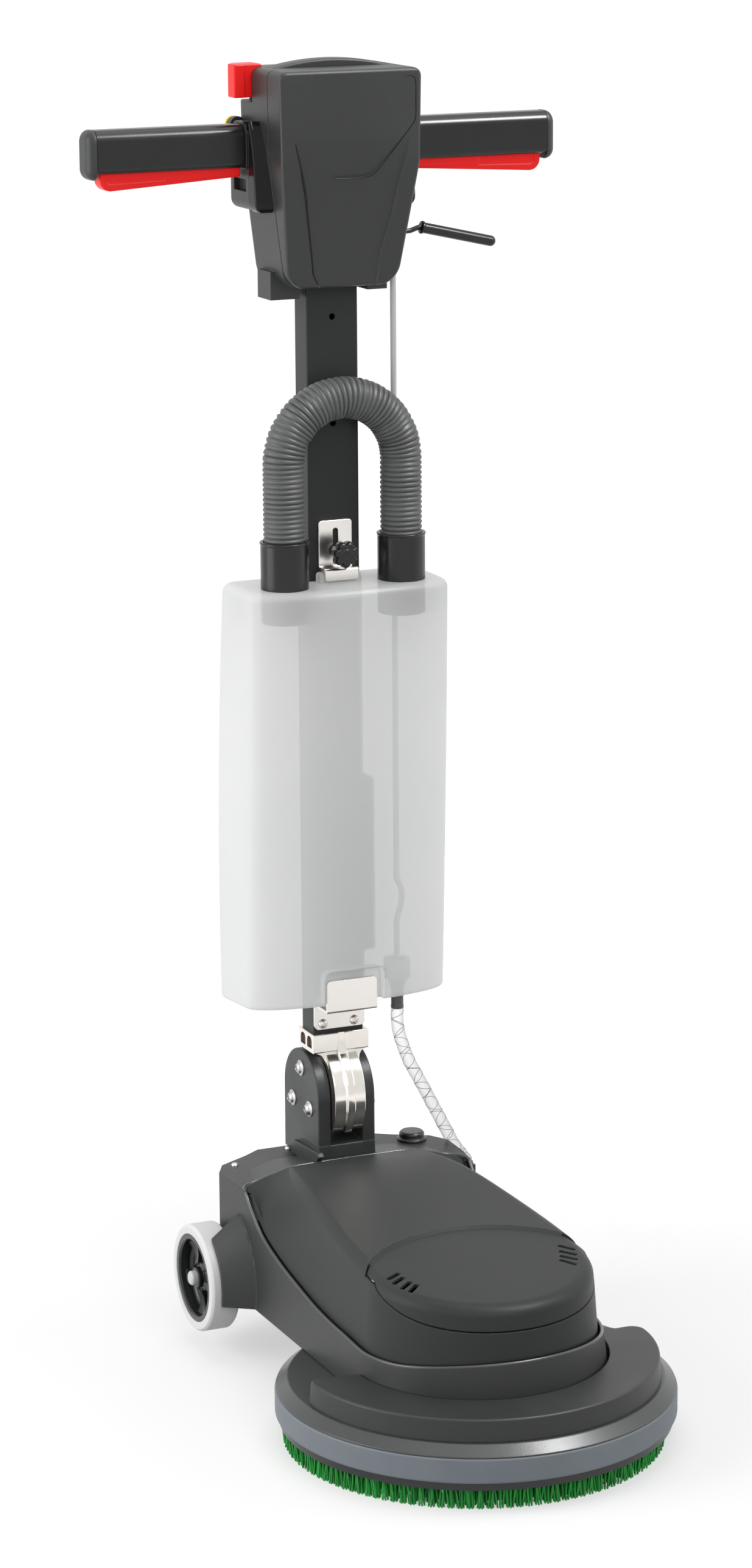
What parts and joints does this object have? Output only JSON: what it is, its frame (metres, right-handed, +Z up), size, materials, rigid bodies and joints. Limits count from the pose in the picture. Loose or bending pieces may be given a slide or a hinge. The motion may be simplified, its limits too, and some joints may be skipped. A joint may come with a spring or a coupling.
{
  "type": "floor scrubber",
  "caption": "Upright rotary floor scrubber: round brush under a low deck, two rear wheels, tilting handle with a solution tank, twin grips and triggers.",
  "frame": {"origin": "where the brush axis meets the floor, in the plane of the bristle tips", "axes": "+X to the right seen from the front, +Y back towards the operator, +Z up"},
  "size_m": [0.452, 0.5421, 1.186],
  "materials": {
    "charcoal_plastic": "satin moulded plastic",
    "gloss_black": "glossy moulded plastic",
    "red_plastic": "glossy moulded plastic",
    "yellow_plastic": "glossy moulded plastic",
    "tank_plastic": "natural translucent moulded plastic",
    "bumper_rubber": "smooth matt",
    "hose_grey": "ribbed matt",
    "clear_hose": "clear flexible plastic",
    "tyre_grey": "smooth, non-marking",
    "hub_plastic": "moulded",
    "bristle_green": "bristle filament",
    "white_plastic": "moulded",
    "painted_steel": "dark grey powder coat",
    "bracket_metal": "grey coated casting",
    "polished_alloy": "polished",
    "stainless": "bright stainless",
    "steel": "zinc plated",
    "motor_iron": "laminated core"
  },
  "bodies": {
    "chassis": {"guard_shell": "charcoal_plastic", "guard_crescent": "charcoal_plastic", "bumper_ring": "bumper_rubber", "chassis_case": "charcoal_plastic", "deck_cover": "charcoal_plastic", "front_cap": "charcoal_plastic", "gear_case": "polished_alloy", "motor_case": "polished_alloy", "motor_stator": "motor_iron", "pivot_bracket": "bracket_metal", "hinge_drum": "polished_alloy", "bracket_bolts": "steel", "wheel_axle": "steel", "left_axle_cap": "white_plastic", "right_axle_cap": "white_plastic", "rear_plug": "hub_plastic", "hose_spigot": "hub_plastic", "feed_hose": "clear_hose"},
    "brush": {"brush_plate": "hub_plastic", "bristle_ring": "bristle_green", "spindle": "steel", "drive_gear": "steel"},
    "rotor": {"motor_rotor": "motor_iron", "pinion": "steel"},
    "left_wheel": {"left_tyre": "tyre_grey", "left_hub": "hub_plastic"},
    "right_wheel": {"right_tyre": "tyre_grey", "right_hub": "hub_plastic"},
    "handle": {"hinge_block": "polished_alloy", "column": "painted_steel", "column_duct": "hub_plastic", "tank_hook": "stainless", "tank": "tank_plastic", "left_cuff": "gloss_black", "right_cuff": "gloss_black", "arch_hose": "hose_grey", "valve_housing": "white_plastic", "outlet_cuff": "hose_grey", "head_front": "charcoal_plastic", "head_housing": "charcoal_plastic", "head_back": "charcoal_plastic", "carry_rib": "charcoal_plastic", "left_cheek": "gloss_black", "right_cheek": "gloss_black", "left_grip": "gloss_black", "right_grip": "gloss_black", "left_end_cap": "charcoal_plastic", "right_end_cap": "charcoal_plastic"},
    "clip": {"tank_clip": "stainless"},
    "clip_knob": {"star_knob": "gloss_black"},
    "left_trigger_blade": {"left_trigger": "red_plastic"},
    "right_trigger_blade": {"right_trigger": "red_plastic"},
    "button": {"safety_button": "yellow_plastic"},
    "release": {"release_lever": "red_plastic"},
    "solution_lever": {"lever_wire": "steel", "lever_sleeve": "gloss_black"},
    "valve_rod": {"pull_rod": "white_plastic", "valve_plug": "hose_grey"}
  },
  "joints": [
    {"name": "brush_spin", "type": "hinge", "parent": "chassis", "child": "brush", "pos_m": [0, 0, 0], "axis": [0, 0, 1], "continuous": true},
    {"name": "rotor_spin", "type": "hinge", "parent": "chassis", "child": "rotor", "pos_m": [0, 0.063, 0], "axis": [0, 0, 1], "continuous": true},
    {"name": "left_wheel_spin", "type": "hinge", "parent": "chassis", "child": "left_wheel", "pos_m": [-0.136, 0.297, 0.0717], "axis": [1, 0, 0], "continuous": true},
    {"name": "right_wheel_spin", "type": "hinge", "parent": "chassis", "child": "right_wheel", "pos_m": [0.136, 0.297, 0.0717], "axis": [1, 0, 0], "continuous": true},
    {"name": "handle_tilt", "type": "hinge", "parent": "chassis", "child": "handle", "pos_m": [0, 0.3235, 0.229], "axis": [-1, 0, 0], "range_deg": [0, 90], "deforming": ["feed_hose"]},
    {"name": "clip_slide", "type": "slide", "parent": "handle", "child": "clip", "axis": [0, 0, 1], "range_m": [0, 0.008]},
    {"name": "knob_turn", "type": "hinge", "parent": "handle", "child": "clip_knob", "pos_m": [0, 0.29, 0.745], "axis": [0, 1, 0], "continuous": true},
    {"name": "left_trigger_press", "type": "hinge", "parent": "handle", "child": "left_trigger_blade", "pos_m": [-0.087, 0.3215, 1.098], "axis": [0, 1, 0], "range_deg": [0, 5], "stiffness_Nm_per_rad": 4, "springref_deg": -5.73},
    {"name": "right_trigger_press", "type": "hinge", "parent": "handle", "child": "right_trigger_blade", "pos_m": [0.087, 0.3215, 1.098], "axis": [0, -1, 0], "range_deg": [0, 5], "stiffness_Nm_per_rad": 4, "springref_deg": -5.73},
    {"name": "button_press", "type": "slide", "parent": "handle", "child": "button", "axis": [0, -1, 0], "range_m": [0, 0.0037], "stiffness_N_per_m": 400, "springref_m": -0.002},
    {"name": "release_pull", "type": "hinge", "parent": "handle", "child": "release", "pos_m": [-0.07, 0.33, 1.157], "axis": [-1, 0, 0], "range_deg": [0, 20], "stiffness_Nm_per_rad": 0.8, "springref_deg": -11.46},
    {"name": "solution_lever_lift", "type": "hinge", "parent": "handle", "child": "solution_lever", "pos_m": [0.031, 0.305, 1.029], "axis": [0, -1, 0], "range_deg": [0, 14], "stiffness_Nm_per_rad": 1, "springref_deg": -8.59},
    {"name": "valve_rod_slide", "type": "slide", "parent": "handle", "child": "valve_rod", "axis": [0, 0, 1], "range_m": [0, 0.008]}
  ],
  "couplings": [
    {"joint": "rotor_spin", "follows": "brush_spin", "ratio": -5},
    {"joint": "valve_rod_slide", "follows": "solution_lever_lift", "m_per_rad": 0.031}
  ]
}
